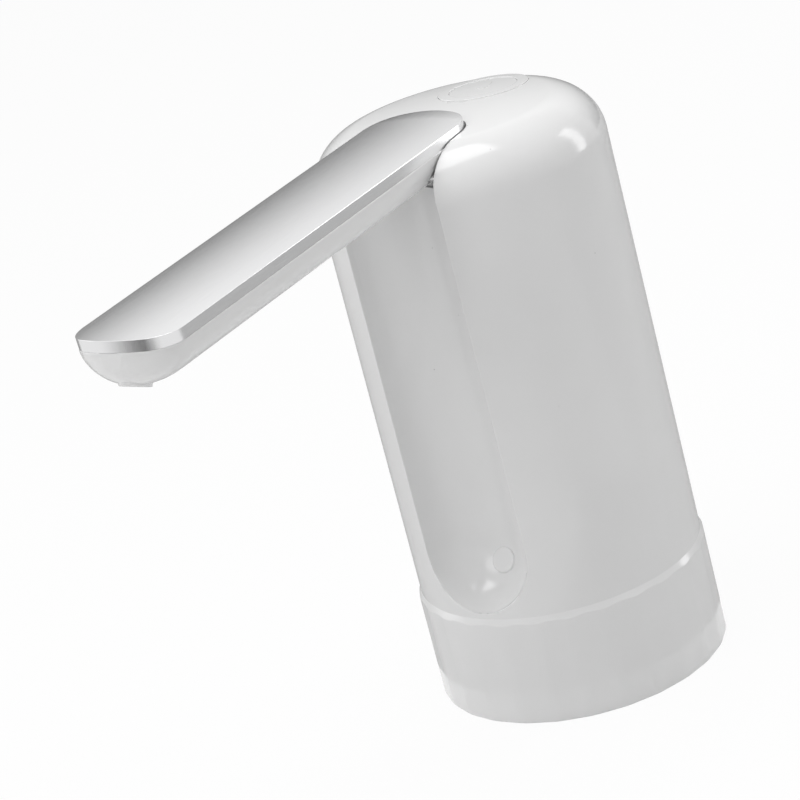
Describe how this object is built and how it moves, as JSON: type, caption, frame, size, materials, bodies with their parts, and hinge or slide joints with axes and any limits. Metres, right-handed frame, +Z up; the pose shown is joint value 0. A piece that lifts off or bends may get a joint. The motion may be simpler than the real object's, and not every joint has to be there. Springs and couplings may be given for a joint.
{
  "type": "electric water jug pump",
  "caption": "Rechargeable white pump for a large water jug, with a faceted neck skirt, a domed body with a round button and a folding spout with a satin metal cover",
  "frame": {"origin": "on the body axis at the underside of the neck skirt, at the mouth of the neck sleeve", "axes": "+Z up along the body axis, -Y forward along the opened spout, +X to the spout's right-hand side as seen from the front"},
  "size_m": [0.0724, 0.1684, 0.1469],
  "materials": {
    "white_gloss": "glossy moulded",
    "white_plain": "plain moulded",
    "spout_metal": "satin anodised",
    "soft_grey": "soft silicone",
    "black_rubber": "soft",
    "steel": "bright",
    "dark_plastic": "plain moulded",
    "magnet_grey": "pressed ferrite",
    "board_green": "lacquered",
    "cell_green": "shrink sleeve",
    "copper_winding": "enamelled wire"
  },
  "bodies": {
    "body": {"main_housing": "white_gloss", "base_skirt": "white_gloss", "neck_seal": "soft_grey", "inlet_nipple": "white_plain", "suction_sleeve": "soft_grey", "chassis": "white_plain", "skirt_screws": "steel", "battery_cell": "cell_green", "battery_holder": "dark_plastic", "main_board": "board_green", "usb_socket": "steel", "switch_board": "board_green", "tact_switch": "dark_plastic", "board_screws": "steel", "button_bezel": "white_gloss", "groove_pad": "white_gloss", "pump_cover": "dark_plastic", "pump_gasket": "black_rubber", "pump_housing": "dark_plastic", "pump_screws": "steel", "motor_screws": "steel", "shaft_seal": "black_rubber", "idler_pin": "steel", "motor_can": "steel", "motor_magnets": "magnet_grey", "motor_end_cap": "dark_plastic", "delivery_hose": "soft_grey", "hinge_cradle": "white_gloss", "hinge_axle": "steel", "swivel_elbow": "white_plain"},
    "spout": {"spout_cover": "spout_metal", "spout_shell": "white_gloss", "spout_knuckle": "white_gloss", "knuckle_o_rings": "black_rubber", "spout_tube": "soft_grey", "spout_nozzle": "white_gloss"},
    "button": {"power_button": "white_gloss", "switch_plunger": "dark_plastic"},
    "rotor": {"motor_shaft": "steel", "armature": "copper_winding", "drive_gear": "white_plain"},
    "idler": {"idler_gear": "white_plain"}
  },
  "joints": [
    {"name": "spout_fold", "type": "hinge", "parent": "body", "child": "spout", "pos_m": [0, -0.02725, 0.1377], "axis": [1, 0, 0], "range_deg": [0, 88]},
    {"name": "button_press", "type": "slide", "parent": "body", "child": "button", "axis": [0, 0, -1], "range_m": [0, 0.0006], "stiffness_N_per_m": 1500},
    {"name": "motor_spin", "type": "hinge", "parent": "body", "child": "rotor", "pos_m": [-0.0055, 0.0045, 0.076], "axis": [0, 0, 1], "continuous": true},
    {"name": "idler_spin", "type": "hinge", "parent": "body", "child": "idler", "pos_m": [-0.0055, -0.0045, 0.0536], "axis": [0, 0, 1], "continuous": true}
  ],
  "couplings": [
    {"joint": "idler_spin", "follows": "motor_spin", "ratio": -1}
  ]
}
